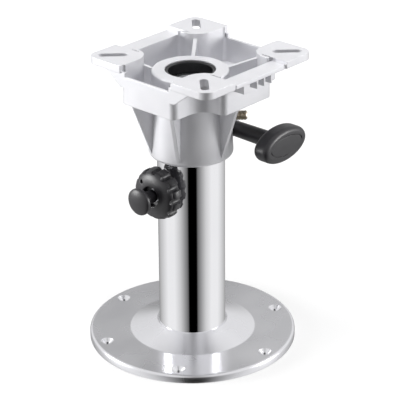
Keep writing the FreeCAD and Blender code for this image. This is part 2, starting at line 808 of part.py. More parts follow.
def clamp_piece(name, profile):
    return turned(name, profile, ("0", "clamp_offset", "clamp_height"), ALONG_CLAMP)


def hexagon(radius, bottom, top, at, turn):
    """A hexagonal prism whose corners lie on radius."""
    prism = doc.addObject("Part::Prism", "hexagon")
    prism.Polygon = 6
    bind(prism, Circumradius=radius, Height=f"({top}) - ({bottom})")
    return put(prism, at, turn)


def clamp_nut():
    start = "-lug_width / 2 - clamp_nut_height"
    nut = hexagon("clamp_nut_radius", "0", "clamp_nut_height", (start, "clamp_offset", "clamp_height"), ALONG_CLAMP)
    bore = rod("clamp_screw_radius + running", "0", "clamp_nut_height + 2", turn=ALONG_CLAMP)
    put(bore, (start + " - 1", "clamp_offset", "clamp_height"))
    finished(cut(nut, bore), "clamp_nut")


def clamp_washer():
    finished(clamp_piece("clamp_washer", [
        ("clamp_screw_radius + running", "lug_width / 2"),
        ("clamp_washer_radius", "lug_width / 2"),
        ("clamp_washer_radius", "lug_width / 2 + clamp_washer_height"),
        ("clamp_screw_radius + running", "lug_width / 2 + clamp_washer_height"),
    ]), "clamp_washer")


def clamp_screw():
    screw = clamp_piece("clamp_screw", [
        ("0", "-clamp_tail"),
        ("clamp_screw_radius", "-clamp_tail"),
        ("clamp_screw_radius", "paddle_centre - paddle_height"),
        ("0", "paddle_centre - paddle_height"),
    ])
    soften(screw, "0.8", ("clamp_screw_radius", "-clamp_tail"))
    finished(screw, "clamp_screw")


def oval(long, short, bottom, height):
    """An oval prism across the clamp's axis, its long side nearly level."""
    tilt = ALONG_CLAMP * Rotation(Vector(0, 0, 1), 90 + size_of("paddle_tilt"))
    edge = bind(doc.addObject("Part::Ellipse", "oval"), MajorRadius=long, MinorRadius=short)
    put(edge, (bottom, "clamp_offset", "clamp_height"), tilt)
    item = doc.addObject("Part::Extrusion", "paddle")
    item.Base = edge
    item.DirMode = "Normal"
    item.Solid = True
    return bind(item, LengthFwd=height)


def clamp_handle():
    """A moulded oval paddle on a round shank."""
    blank = oval("paddle_long", "paddle_short", "paddle_centre - paddle_height / 2", "paddle_height")
    paddle = rounded(blank, "paddle_rounding", lambda edge: not upright_oval(edge))
    shank = rod("shank_radius", "lug_width / 2 + clamp_washer_height", "paddle_centre", turn=ALONG_CLAMP)
    put(shank, ("lug_width / 2 + clamp_washer_height", "clamp_offset", "clamp_height"))
    bore = rod("clamp_screw_radius", "0", "paddle_centre - paddle_height", turn=ALONG_CLAMP)
    put(bore, ("0", "clamp_offset", "clamp_height"))
    seat = oval("inlay_long", "inlay_short", "paddle_centre + paddle_height / 2 - inlay_depth", "inlay_depth + 1")
    finished(cut(fuse(paddle, shank), bore, seat), "clamp_handle")


def handle_cap():
    """The oval cap set into the paddle's face."""
    blank = oval("inlay_long", "inlay_short", "paddle_centre + paddle_height / 2 - inlay_depth",
                 "inlay_depth + inlay_proud")
    front = size_of("paddle_centre + paddle_height / 2 + inlay_proud")
    finished(rounded(blank, "inlay_rounding", lambda edge: edge.BoundBox.XMin > front - 0.01), "handle_cap")


def upright_oval(edge):
    """The seam along the paddle's thickness, which stays as it is."""
    return isinstance(edge.Curve, Part.Line)


# Height lock: a knob on a hollow screw presses a pad into the keyway, and an index pin runs through it.

def lock_piece(name, profile):
    return turned(name, profile, ("0", "0", "lock_height"), ALONG_LOCK)


PAD_START = "groove_floor + pad_gap"
SCREW_START = PAD_START + " + pad_length"
KNOB_START = "boss_outer + knob_gap"
KNOB_FRONT = KNOB_START + " + knob_height"
CAP_FRONT = KNOB_FRONT + " + cap_height"
COLLAR_START = SCREW_START + " + screw_floor + pad_gap"


def lock_pad():
    finished(lock_piece("lock_pad", [
        ("pin_radius + running", PAD_START),
        ("pad_radius", PAD_START),
        ("pad_radius", SCREW_START),
        ("pin_radius + running", SCREW_START),
    ]), "lock_pad")


def lock_screw():
    finished(lock_piece("lock_screw", [
        ("pin_radius + running", SCREW_START),
        ("screw_radius", SCREW_START),
        ("screw_radius", KNOB_FRONT + " - screw_head_height"),
        ("screw_head", KNOB_FRONT + " - screw_head_height"),
        ("screw_head", KNOB_FRONT),
        ("screw_bore", KNOB_FRONT),
        ("screw_bore", SCREW_START + " + screw_floor"),
        ("pin_radius + running", SCREW_START + " + screw_floor"),
    ]), "lock_screw")


def lock_knob():
    """The lobed rim, moulded round the screw's head."""
    rim = lock_piece("knob_turning", [
        ("screw_radius", KNOB_START),
        ("knob_core", KNOB_START),
        ("knob_core", KNOB_FRONT),
        ("screw_head", KNOB_FRONT),
        ("screw_head", KNOB_FRONT + " - screw_head_height"),
        ("screw_radius", KNOB_FRONT + " - screw_head_height"),
    ])
    lobes = []
    for n in range(SIZES["lobe_count"]):
        angle = 2 * math.pi * n / SIZES["lobe_count"]
        lobe = rod("lobe_radius", "0", "knob_height", turn=ALONG_LOCK)
        put(lobe, (f"(knob_reach - lobe_radius) * {math.cos(angle)}", f"-({KNOB_START})",
                   f"lock_height + (knob_reach - lobe_radius) * {math.sin(angle)}"))
        lobes.append(rounded(lobe, "1.5", is_round))
    finished(fuse(rim, *lobes), "lock_knob")


def is_round(edge):
    return isinstance(edge.Curve, Part.Circle)


def knob_cap():
    """The knob's smooth front, with the recess that the button's neck runs in and a small hole."""
    cap = lock_piece("cap_turning", [
        ("recess_radius", KNOB_FRONT),
        ("cap_radius", KNOB_FRONT),
        ("cap_radius", CAP_FRONT + " - cap_rounding"),
        ("cap_radius - cap_rounding", CAP_FRONT),
        ("recess_radius", CAP_FRONT + " + 1"),
    ])
    angle = math.radians(size_of("witness_angle"))
    hole = rod("witness_radius", "0", "witness_depth + 2", turn=ALONG_LOCK)
    put(hole, (f"witness_place * {math.cos(angle)}", f"-({CAP_FRONT} - witness_depth)",
               f"lock_height + witness_place * {math.sin(angle)}"))
    finished(cut(cap, hole), "knob_cap")


def spring_plug():
    """The ring that closes the screw's bore and holds the spring in."""
    finished(lock_piece("spring_plug", [
        ("pin_radius + running", KNOB_FRONT + " - plug_ring_height"),
        ("screw_bore", KNOB_FRONT + " - plug_ring_height"),
        ("screw_bore", KNOB_FRONT),
        ("pin_radius + running", KNOB_FRONT),
    ]), "spring_plug")


def index_pin():
    pin = lock_piece("index_pin", [
        ("0", "groove_floor + pin_gap"),
        ("pin_radius", "groove_floor + pin_gap"),
        ("pin_radius", COLLAR_START),
        ("pin_collar", COLLAR_START),
        ("pin_collar", COLLAR_START + " + pin_collar_height"),
        ("pin_radius", COLLAR_START + " + pin_collar_height"),
        ("pin_radius", "pin_end"),
        ("0", "pin_end"),
    ])
    soften(pin, "0.6", ("pin_radius", "groove_floor + pin_gap"))
    finished(pin, "index_pin")


def pin_spring():
    """A coil spring between the pin's collar and the plug."""
    start = COLLAR_START + " + pin_collar_height + wire_radius + 0.05"
    stop = KNOB_FRONT + " - plug_ring_height - wire_radius - 0.05"
    helix = bind(doc.addObject("Part::Helix", "coil"), Pitch="coil_pitch", Height=f"{stop} - ({start})",
                 Radius="coil_radius")
    wire = bind(doc.addObject("Part::Circle", "wire"), Radius="wire_radius")
    wire.Placement = Placement(Vector(), Rotation(Vector(1, 0, 0), 90))
    put(wire, ("coil_radius", "0", "0"))
    doc.recompute()
    sweep = doc.addObject("Part::Sweep", "spring")
    sweep.Sections = [wire]
    sweep.Spine = (helix, ["Edge1"])
    sweep.Solid = True
    sweep.Frenet = True
    put(sweep, ("0", f"-({start})", "lock_height"), ALONG_LOCK)
    finished(sweep, "pin_spring")


def pull_button():
    """A mushroom button on a neck, moulded onto the pin's outer end."""
    button = lock_piece("pull_button", [
        ("pin_radius", "neck_start"),
        ("neck_radius", "neck_start"),
        ("neck_radius", "button_back"),
        ("button_radius", "button_back"),
        ("button_radius", "button_back + button_height"),
        ("0", "button_back + button_height"),
        ("0", "pin_end"),
        ("pin_radius", "pin_end"),
    ])
    soften(button, "button_rounding", ("button_radius", "button_back + button_height"))
    soften(button, "button_heel", ("button_radius", "button_back"))
    finished(button, "pull_button")


for make in (base_plate, outer_tube, guide_bush, lock_boss, inner_post, post_glide, post_head, head_pin,
             thrust_washer, top_bush, retaining_nut, seat_mount, sleeve_bush, stop_screw, clamp_nut,
             clamp_washer, clamp_screw, clamp_handle, handle_cap, lock_pad, lock_screw, lock_knob, knob_cap,
             spring_plug, index_pin, pin_spring, pull_button):
    make()
doc.recompute()

for item in doc.Objects:
    if "Invalid" in item.State or "Error" in item.State:
        raise RuntimeError(f"{item.Name} failed: {item.State}")
for item in parts:
    if item.Shape.isNull() or not item.Shape.isValid() or not item.Shape.Solids:
        raise RuntimeError(f"{item.Label} has no valid solid")
os.makedirs("parts", exist_ok=True)
for item in parts:
    item.Shape.exportStep(f"parts/{item.Label}.step")
    print(f"{item.Label:16s} {len(item.Shape.Solids)} solid, {item.Shape.Volume / 1000:9.3f} cm3")
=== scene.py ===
import math

import bmesh
import bpy
from mathutils import Matrix, Vector


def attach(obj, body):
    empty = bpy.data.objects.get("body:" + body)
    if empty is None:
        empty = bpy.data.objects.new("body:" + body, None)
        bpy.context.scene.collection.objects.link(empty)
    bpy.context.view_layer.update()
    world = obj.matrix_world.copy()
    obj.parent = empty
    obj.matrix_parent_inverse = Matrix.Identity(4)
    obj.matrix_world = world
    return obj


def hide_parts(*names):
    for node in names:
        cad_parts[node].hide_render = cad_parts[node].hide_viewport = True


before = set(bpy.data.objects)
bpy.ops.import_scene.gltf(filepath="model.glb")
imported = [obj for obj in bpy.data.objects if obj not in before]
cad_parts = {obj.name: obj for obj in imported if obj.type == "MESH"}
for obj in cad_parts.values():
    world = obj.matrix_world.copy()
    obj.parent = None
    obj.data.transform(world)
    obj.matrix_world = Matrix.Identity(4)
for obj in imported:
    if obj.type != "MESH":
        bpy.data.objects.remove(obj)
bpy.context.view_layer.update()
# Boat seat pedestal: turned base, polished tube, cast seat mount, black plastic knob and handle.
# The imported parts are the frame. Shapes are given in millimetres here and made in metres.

mm = 0.001

# The lines that things turn on: a point in mm, the way along, and the way out.
tubeLine = {"at": (0, 0, 0), "along": (0, 0, 1), "out": (1, 0, 0)}
knobLine = {"at": (0, 0, 188), "along": (0, -1, 0), "out": (1, 0, 0)}
handleLine = {"at": (0, 50, 236), "along": (1, 0, 0), "out": (0, 1, 0)}
stopTurn = math.radians(42.5)
stopLine = {"at": (0, 0, 261), "along": (math.cos(stopTurn), math.sin(stopTurn), 0), "out": (0, 0, 1)}

# In mm: what counts as the same corner, a seam, a double corner of a CAD mesh, and on a ring.
nearness = {"corner": 0.001, "seam": 0.002, "mesh": 0.004, "ring": 0.05}
# How far a cutter reaches past what it cuts, in mm.
past = 1


def onLine(line, radius, height):
    return (Vector(line["at"]) + Vector(line["out"]) * radius + Vector(line["along"]) * height) * mm


def lineBeside(line, reach, degrees):
    # A line that runs along another one, at a reach from it and so far round it.
    turned = math.radians(degrees)
    outward, sideways = reach * math.cos(turned), reach * math.sin(turned)
    side = Vector(line["along"]).cross(Vector(line["out"]))
    place = [at + out * outward + aside * sideways
             for at, out, aside in zip(line["at"], line["out"], side)]
    return {"at": place, "along": line["along"], "out": line["out"]}


def rounded(radius, height, offsets):
    # Corners of a rounded edge, each so far in from the radius and so far on from the height.
    return [(radius - inward, height + onward) for inward, onward in offsets]


def pickIn(piece, kind, wanted):
    # Selects vertices, edges or faces of the piece in edit mode, by their place or normal.
    bpy.ops.mesh.select_mode(type=kind)
    bpy.ops.mesh.select_all(action="DESELECT")
    shape = bmesh.from_edit_mesh(piece.data)
    items = {"VERT": shape.verts, "EDGE": shape.edges, "FACE": shape.faces}[kind]
    found = [item for item in items if wanted(item)]
    for item in found:
        item.select_set(True)
    shape.select_flush_mode()
    bmesh.update_edit_mesh(piece.data)
    if not found:
        raise ValueError("nothing to pick on " + piece.name)


def startOn(piece):
    if bpy.context.mode != "OBJECT":
        bpy.ops.object.mode_set(mode="OBJECT")
    bpy.ops.object.select_all(action="DESELECT")
    piece.select_set(True)
    bpy.context.view_layer.objects.active = piece


def settle(piece):
    # Puts the piece's place into its mesh, merges its seams and turns its faces outwards.
    startOn(piece)
    bpy.ops.object.transform_apply(location=True, rotation=True, scale=True)
    bpy.ops.object.mode_set(mode="EDIT")
    bpy.ops.mesh.select_all(action="SELECT")
    bpy.ops.mesh.remove_doubles(threshold=nearness["seam"] * mm)
    bpy.ops.mesh.normals_make_consistent(inside=False)
    bpy.ops.object.mode_set(mode="OBJECT")


def turnPiece(name, profile, line, steps):
    # Draws a profile of (radius, height) corners beside the line, closes it and spins it round.
    bpy.ops.object.select_all(action="DESELECT")
    bpy.ops.mesh.primitive_plane_add(size=mm, location=onLine(line, *profile[0]))
    piece = bpy.context.object
    piece.name = name
    bpy.ops.object.transform_apply(location=True, rotation=True, scale=True)
    bpy.ops.object.mode_set(mode="EDIT")
    pickIn(piece, "VERT", lambda vertex: vertex.index > 0)
    bpy.ops.mesh.delete(type="VERT")
    bpy.ops.mesh.select_all(action="SELECT")
    first = bmesh.from_edit_mesh(piece.data).verts[:][0].co.copy()
    bpy.ops.transform.translate(value=onLine(line, *profile[0]) - first)
    for start, end in zip(profile, profile[1:]):
        step = onLine(line, *end) - onLine(line, *start)
        bpy.ops.mesh.extrude_region_move(TRANSFORM_OT_translate={"value": step})
    ends = (onLine(line, *profile[0]), onLine(line, *profile[-1]))
    pickIn(piece, "VERT",
           lambda vertex: min((vertex.co - end).length for end in ends) < nearness["corner"] * mm)
    bpy.ops.mesh.edge_face_add()
    bpy.ops.mesh.select_all(action="SELECT")
    bpy.ops.mesh.spin(steps=steps, angle=2 * math.pi, center=Vector(line["at"]) * mm, axis=line["along"])
    bpy.ops.object.mode_set(mode="OBJECT")
    settle(piece)
    return piece


def rod(name, radius, start, end, line, steps):
    # A straight bar along the line, which holes are cut with.
    return turnPiece(name, [(0, start), (radius, start), (radius, end), (0, end)], line, steps)


def ringEdge(line, radius, height):
    # True for the edges of one ring of a turned piece.
    along, at = Vector(line["along"]), Vector(line["at"]) * mm
    near = nearness["ring"] * mm

    def wanted(edge):
        for vertex in edge.verts:
            level = (vertex.co - at).dot(along)
            reach = (vertex.co - at - along * level).length
            if abs(level - height * mm) > near or abs(reach - radius * mm) > near:
                return False
        return True
    return wanted


def softenRing(piece, line, radius, height, size, segments):
    startOn(piece)
    bpy.ops.object.mode_set(mode="EDIT")
    pickIn(piece, "EDGE", ringEdge(line, radius, height))
    bpy.ops.mesh.bevel(offset=size * mm, segments=segments, affect="EDGES")
    bpy.ops.object.mode_set(mode="OBJECT")


def easeEdges(piece, size, segments, angle):
    # Bevels the edges that are sharper than the angle, in degrees.
    startOn(piece)
    edge = piece.modifiers.new("edges", "BEVEL")
    edge.width = size * mm
    edge.segments = segments
    edge.limit_method = "ANGLE"
    edge.angle_limit = math.radians(angle)
    bpy.ops.object.modifier_apply(modifier=edge.name)


def cutOut(piece, tools):
    startOn(piece)
    for tool in tools:
        cutter = piece.modifiers.new("cut", "BOOLEAN")
        cutter.operation = "DIFFERENCE"
        cutter.object = tool
        bpy.ops.object.modifier_apply(modifier=cutter.name)
    for tool in tools:
        bpy.data.objects.remove(tool)


def copyNode(node, name):
    # A CAD node's mesh is loose triangles; its copy is merged so that its rounds shade smoothly.
    piece = bpy.data.objects.new(name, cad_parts[node].data.copy())
    bpy.context.scene.collection.objects.link(piece)
    startOn(piece)
    bpy.ops.object.mode_set(mode="EDIT")
    bpy.ops.mesh.select_all(action="SELECT")
    bpy.ops.mesh.remove_doubles(threshold=nearness["mesh"] * mm)
    bpy.ops.object.mode_set(mode="OBJECT")
    bpy.ops.mesh.customdata_custom_splitnormals_clear()
    return piece


def dress(piece, material, body, nodes, angle=30):
    # Gives a finished piece its shading, material and body, and hides the nodes it stands for.
    startOn(piece)
    bpy.ops.object.shade_smooth_by_angle(angle=math.radians(angle))
    piece.data.materials.clear()
    piece.data.materials.append(material)
    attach(piece, body)
    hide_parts(*nodes)
    return piece


def linear(hexText):
    # An sRGB colour such as "c8c8cc" as Blender's linear colour.
    channels = [int(hexText[n:n + 2], 16) / 255 for n in (0, 2, 4)]
    return [c / 12.92 if c <= 0.04045 else ((c + 0.055) / 1.055) ** 2.4 for c in channels] + [1.0]


def addNode(tree, kind, settings={}, values={}, links={}):
    node = tree.nodes.new("ShaderNode" + kind)
    for name, value in settings.items():
        setattr(node, name, value)
    for name, value in values.items():
        node.inputs[name].default_value = value
    for name, source in links.items():
        tree.links.new(source, node.inputs[name])
    return node


def perMetre(size):
    # A noise or wave scale whose features are about this many millimetres wide.
    return 1 / (size * mm)


# A Mix node's colour sockets go by number, because its other sockets carry the same names.
colourA, colourB, mixedColour = 6, 7, 2
# Nearly all of a noise's values lie between these two.
noiseLow, noiseHigh = 0.3, 0.7
# A wave node of scale 1 goes through this many radians in a metre.
waveRadians = 20


def finish(name, look):
    # One surface: a colour that drifts a little, grain or lines as bump, and uneven roughness.
    material = bpy.data.materials.new(name)
    material.use_nodes = True
    tree = material.node_tree
    tree.nodes.clear()
    place = addNode(tree, "TexCoord").outputs["Object"]
    stretched = addNode(tree, "Mapping", values={"Scale": look.get("stretch", (1, 1, 1))},
                        links={"Vector": place}).outputs["Vector"]
    drift = addNode(tree, "TexNoise", values={"Scale": perMetre(look["driftSize"]), "Detail": 3.0},
                    links={"Vector": place}).outputs["Fac"]
    grain = addNode(tree, "TexNoise", values={"Scale": perMetre(look["grainSize"]), "Detail": 2.0},
                    links={"Vector": stretched}).outputs["Fac"]
    colour = addNode(tree, "Mix", {"data_type": "RGBA"},
                     {colourA: linear(look["colours"][0]), colourB: linear(look["colours"][1])},
                     {"Factor": drift}).outputs[mixedColour]
    rough = addNode(tree, "MapRange", values={
        "From Min": noiseLow, "From Max": noiseHigh,
        "To Min": look["rough"][0], "To Max": look["rough"][1]}, links={"Value": drift})
    height = grain
    if "ringPitch" in look:
        rings = addNode(tree, "TexWave",
                        {"wave_type": "RINGS", "rings_direction": "Z", "wave_profile": "SIN"},
                        {"Scale": 2 * math.pi / waveRadians * perMetre(look["ringPitch"]), "Distortion": 0.0},
                        {"Vector": place}).outputs["Fac"]
        height = addNode(tree, "Math", {"operation": "ADD"}, {}, {0: rings, 1: grain}).outputs[0]
    normal = {}
    if "edgeRadius" in look:
        edge = addNode(tree, "Bevel", {"samples": 6}, {"Radius": look["edgeRadius"] * mm})
        normal = {"Normal": edge.outputs["Normal"]}
    bump = addNode(tree, "Bump", values={"Strength": look["bump"], "Distance": look["bumpDepth"] * mm},
                   links={"Height": height, **normal})
    links = {"Base Color": colour, "Roughness": rough.outputs["Result"], "Normal": bump.outputs["Normal"]}
    values = {"Metallic": look.get("metallic", 0.0)}
    if "anisotropic" in look:
        # Turned lines run round the axis, so the gloss spreads across them.
        links["Tangent"] = addNode(tree, "Tangent", {"direction_type": "RADIAL", "axis": "Z"}).outputs[0]
        values.update({"Anisotropic": look["anisotropic"], "Anisotropic Rotation": 0.25})
    shader = addNode(tree, "BsdfPrincipled", values=values, links=links)
    addNode(tree, "OutputMaterial", links={"Surface": shader.outputs["BSDF"]})
    return material


# Each finish is named for the real one and how its surface was made. Sizes in it are in mm.
turnedBase = finish("turnedAluminium", {    # faced on a lathe: fine rings, gloss fans out from the centre
    "colours": ("dddde1", "e8e8eb"), "driftSize": 60, "grainSize": 0.9, "metallic": 1.0,
    "rough": (0.24, 0.31), "ringPitch": 1.6, "bump": 0.1, "bumpDepth": 0.02,    # real rings are 0.2 mm
    "anisotropic": 0.75})
polishedTube = finish("polishedAluminium", {    # drawn, buffed and bright dipped: a clear mirror
    "colours": ("ececef", "f3f3f5"), "driftSize": 90, "grainSize": 1.2, "stretch": (1, 1, 0.02),
    "metallic": 1.0, "rough": (0.035, 0.06), "bump": 0.01, "bumpDepth": 0.005})
castMount = finish("castAluminiumSilver", {    # die cast, blasted and coated silver: satin, fine grain
    "colours": ("dbdbdf", "e3e3e6"), "driftSize": 25, "grainSize": 1.0, "metallic": 0.35,
    "rough": (0.38, 0.46), "bump": 0.12, "bumpDepth": 0.05, "edgeRadius": 0.9})
anodisedPost = finish("anodisedAluminium", {    # extruded and anodised: satin, faint lines along it
    "colours": ("c9cacd", "d4d5d8"), "driftSize": 40, "grainSize": 0.8, "stretch": (1, 1, 0.02),
    "metallic": 1.0, "rough": (0.22, 0.3), "bump": 0.05, "bumpDepth": 0.02})
machinedHead = finish("machinedAluminium", {    # turned and left bare inside the mount
    "colours": ("c4c5c8", "d2d3d6"), "driftSize": 20, "grainSize": 0.6, "metallic": 1.0,
    "rough": (0.25, 0.35), "ringPitch": 1.2, "bump": 0.1, "bumpDepth": 0.02})
knobPlastic = finish("mouldedNylonBlack", {    # glass-filled nylon from an eroded mould: soft dull gloss
    "colours": ("232225", "2b2a2e"), "driftSize": 12, "grainSize": 0.7, "rough": (0.34, 0.42),
    "bump": 0.12, "bumpDepth": 0.05, "edgeRadius": 0.6})
bushPlastic = finish("turnedAcetalBlack", {    # machined bearing plastic: smooth, waxy
    "colours": ("151517", "1d1d20"), "driftSize": 15, "grainSize": 0.5, "rough": (0.3, 0.4),
    "bump": 0.05, "bumpDepth": 0.02})
zincSteel = finish("zincPlatedSteel", {    # rolled and plated: grey, a little cloudy
    "colours": ("b9babd", "cbccd0"), "driftSize": 5, "grainSize": 0.5, "metallic": 1.0,
    "rough": (0.25, 0.38), "bump": 0.08, "bumpDepth": 0.02, "edgeRadius": 0.3})
screwSteel = finish("oiledBronzeSteel", {    # rolled thread with a dark brownish plate
    "colours": ("a59a88", "d6cfc2"), "driftSize": 2.5, "grainSize": 0.5, "metallic": 1.0,
    "rough": (0.28, 0.42), "bump": 0.1, "bumpDepth": 0.03})
print("finishes ready")

# Base: a plate that is a little dished, with a coned hub and a narrow gap round the tube. Its rim
# is rounded and its six screw holes are countersunk.
plate = {"radius": 114.3, "rim": 9.25, "flangeInner": 69.5, "domeTop": 18.7, "land": 39.0, "tube": 36.5,
         "floor": 4.0, "rimRound": 3.0, "lip": 0.6, "fall": 0.01, "dish": 0.5, "bend": 0.8,
         "bendRise": 0.26, "foot": 1.0, "landEase": 0.5, "gap": 0.45, "gapDepth": 1.6, "steps": 192}
holes = {"count": 6, "circle": 100.6, "start": -56.0, "radius": 3.75, "sink": 7.5, "steps": 48}
hubFoot = plate["rim"] - plate["dish"]
gapRadius = plate["tube"] + plate["gap"]
gapFloor = plate["domeTop"] - plate["gapDepth"]
basePlate = turnPiece("basePlate", [
    (0, 0), (plate["radius"], 0), (plate["radius"], plate["rim"]),
    (plate["radius"] - plate["rimRound"] - plate["lip"], plate["rim"] - plate["fall"]),
    (plate["flangeInner"] + plate["bend"], hubFoot + plate["fall"]), (plate["flangeInner"], hubFoot),
    (plate["flangeInner"] - plate["bend"], hubFoot + plate["bendRise"]),
    (plate["land"] + plate["bend"], plate["domeTop"] - plate["bendRise"]),
    (plate["land"], plate["domeTop"]), (gapRadius, plate["domeTop"]), (gapRadius, gapFloor),
    (plate["tube"], gapFloor), (plate["tube"], plate["floor"]), (0, plate["floor"])],
    tubeLine, plate["steps"])
softenRing(basePlate, tubeLine, plate["radius"], plate["rim"], plate["rimRound"], segments=6)
softenRing(basePlate, tubeLine, plate["radius"], 0, plate["foot"], segments=2)
softenRing(basePlate, tubeLine, plate["land"], plate["domeTop"], plate["landEase"], segments=3)
cutters = []
for n in range(holes["count"]):
    spot = lineBeside(tubeLine, holes["circle"], holes["start"] + n * 360 / holes["count"])
    cutters.append(turnPiece("holeCutter", [
        (0, -past), (holes["radius"], -past),
        (holes["radius"], plate["rim"] - holes["sink"] + holes["radius"]),
        (holes["sink"] + past, plate["rim"] + past), (0, plate["rim"] + past)], spot, holes["steps"]))
cutOut(basePlate, cutters)
dress(basePlate, turnedBase, "pedestal", ["base_plate"], angle=25)
# The tube's stripes run on down to its foot, as they do in the photograph.
basePlate.visible_glossy = False
print("base ready")

# Outer tube: a plain drawn tube with an eased top, and a hole in its wall for the lock's boss.
tube = {"outer": 36.5, "inner": 33.25, "foot": 4.0, "top": 224.0, "ease": 0.5, "steps": 256,
        "bossHole": 12.0, "holeStart": 20.0, "holeEnd": 41.0, "holeSteps": 64}
outerTube = turnPiece("outerTube", [
    (tube["inner"], tube["foot"]), (tube["outer"], tube["foot"]),
    (tube["outer"], tube["top"]), (tube["inner"], tube["top"])], tubeLine, tube["steps"])
softenRing(outerTube, tubeLine, tube["outer"], tube["top"], tube["ease"], segments=3)
cutOut(outerTube, [
    rod("bossCutter", tube["bossHole"], tube["holeStart"], tube["holeEnd"], knobLine, tube["holeSteps"])])
dress(outerTube, polishedTube, "pedestal", ["outer_tube"])
print("tube ready")

# Height lock: a lobed rim, a smooth domed front with a deep recess, and the pin's button in it.
# A round is a list of corners, as the function rounded takes them.
knob = {"back": 44.3, "front": 56.3, "reach": 28.4, "bore": 8.0, "head": 11.0, "headBack": 51.3,
        "backRound": [(2.5, 0), (0.7, 0.8), (0, 2.6)], "frontRound": [(0, -3.4), (0.7, -1.5), (2.4, 0)],
        "grips": 12, "gripStart": 28.0, "gripRadius": 3.7, "gripFloor": 24.4, "gripPast": 4,
        "gripSteps": 28, "ease": 0.45, "easeAngle": 40, "steps": 120}
dome = {"reach": 26.9, "recess": 11.2, "front": 63.9, "shade": 7.4, "shadeFront": 57.6,
        "sideRound": [(0.3, 0), (0, 0.8), (0.4, 2.1), (1.7, 3.7), (4.4, 5.3)], "topRound": [(8.6, -0.9)],
        "recessRound": [(-1.8, 0), (-0.5, -0.1), (0, -0.7)], "ease": 0.25,
        "hole": 2.2, "holePlace": 19.0, "holeAngle": 136.0, "holeFloor": 59.5, "holePast": 2,
        "holeSteps": 28}
lockKnob = turnPiece("lockKnob", [
    (knob["bore"], knob["back"]),
    *rounded(knob["reach"], knob["back"], knob["backRound"]),
    *rounded(knob["reach"], knob["front"], knob["frontRound"]),
    (knob["head"], knob["front"]), (knob["head"], knob["headBack"]), (knob["bore"], knob["headBack"])],
    knobLine, knob["steps"])
knobCap = turnPiece("knobCap", [
    (dome["shade"], knob["front"]),
    *rounded(dome["reach"], knob["front"], dome["sideRound"]),
    *rounded(dome["reach"], dome["front"], dome["topRound"]),
    *rounded(dome["recess"], dome["front"], dome["recessRound"]),
    (dome["recess"], dome["shadeFront"]), (dome["shade"], dome["shadeFront"])], knobLine, knob["steps"])


def gripCutters(name):
    # The bars that cut the finger grips, which also cut the dome's rim.
    tools = []
    for n in range(knob["grips"]):
        spot = lineBeside(knobLine, knob["gripFloor"] + knob["gripRadius"],
                          knob["gripStart"] + n * 360 / knob["grips"])
        tools.append(rod(name, knob["gripRadius"], knob["back"] - past, knob["front"] + knob["gripPast"],
                         spot, knob["gripSteps"]))
    return tools


cutOut(lockKnob, gripCutters("rimCutter"))
cutOut(knobCap, gripCutters("domeCutter"))
spot = lineBeside(knobLine, dome["holePlace"], dome["holeAngle"])
cutOut(knobCap, [rod("witnessCutter", dome["hole"], dome["holeFloor"], dome["front"] + dome["holePast"],
                     spot, dome["holeSteps"])])
easeEdges(lockKnob, knob["ease"], segments=2, angle=knob["easeAngle"])
easeEdges(knobCap, dome["ease"], segments=2, angle=knob["easeAngle"])
dress(lockKnob, knobPlastic, "lock", ["lock_knob"], angle=35)
dress(knobCap, knobPlastic, "lock", ["knob_cap"], angle=35)

button = {"pin": 3.0, "neck": 7.0, "start": 60.0, "boreEnd": 68.0, "back": 77.6, "reach": 14.8,
          "front": 85.2, "neckRound": [(0, -1.0), (-0.8, -0.2)],
          "sideRound": [(1.3, 0), (0.3, 0.5), (0, 1.5), (0, 3.4), (0.3, 4.4), (1.2, 5.2)],
          "faceRound": [(4.0, -1.3), (8.5, -0.35)], "steps": 96}
pullButton = turnPiece("pullButton", [
    (button["pin"], button["start"]), (button["neck"], button["start"]),
    *rounded(button["neck"], button["back"], button["neckRound"]),
    *rounded(button["reach"], button["back"], button["sideRound"]),
    *rounded(button["reach"], button["front"], button["faceRound"]),
    (0, button["front"]), (0, button["boreEnd"]), (button["pin"], button["boreEnd"])],
    knobLine, button["steps"])
dress(pullButton, knobPlastic, "pin", ["pull_button"], angle=40)
print("height lock ready")

# Handle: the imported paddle, drawn out a little about its own line.
paddle = {"start": 72.2, "grow": (1.0, 1.05, 1.08)}
clampHandle = copyNode("clamp_handle", "clampHandle")
bpy.ops.object.mode_set(mode="EDIT")
pickIn(clampHandle, "VERT", lambda vertex: vertex.co.x > paddle["start"] * mm)
bpy.ops.transform.resize(value=paddle["grow"], center_override=Vector(handleLine["at"]) * mm)
bpy.ops.object.mode_set(mode="OBJECT")
dress(clampHandle, knobPlastic, "clamp", ["clamp_handle"], angle=28)

# Oval cap of the paddle: a disc drawn out to an oval, with an eased and slightly domed front.
oval = {"long": 24.8, "short": 10.4, "back": 90.5, "front": 91.5, "tilt": 2.0, "facing": 0.9,
        "rim": 1.2, "dome": 0.35, "crown": 0.6, "ease": 0.35, "steps": 96}
bpy.ops.object.select_all(action="DESELECT")
bpy.ops.mesh.primitive_cylinder_add(
    vertices=oval["steps"], radius=oval["short"] * mm, depth=(oval["front"] - oval["back"]) * mm,
    end_fill_type="NGON", rotation=(0, math.radians(90), 0),
    location=onLine(handleLine, 0, (oval["front"] + oval["back"]) / 2))
handleCap = bpy.context.object
handleCap.name = "handleCap"
bpy.ops.object.transform_apply(location=True, rotation=True, scale=True)
bpy.ops.object.mode_set(mode="EDIT")
bpy.ops.mesh.select_all(action="SELECT")
middle = Vector(handleLine["at"]) * mm
bpy.ops.transform.resize(value=(1, oval["long"] / oval["short"], 1), center_override=middle)
bpy.ops.transform.rotate(value=math.radians(oval["tilt"]), orient_axis="X", center_override=middle)
pickIn(handleCap, "FACE", lambda face: face.normal.x > oval["facing"])
bpy.ops.mesh.inset(thickness=oval["rim"] * mm)
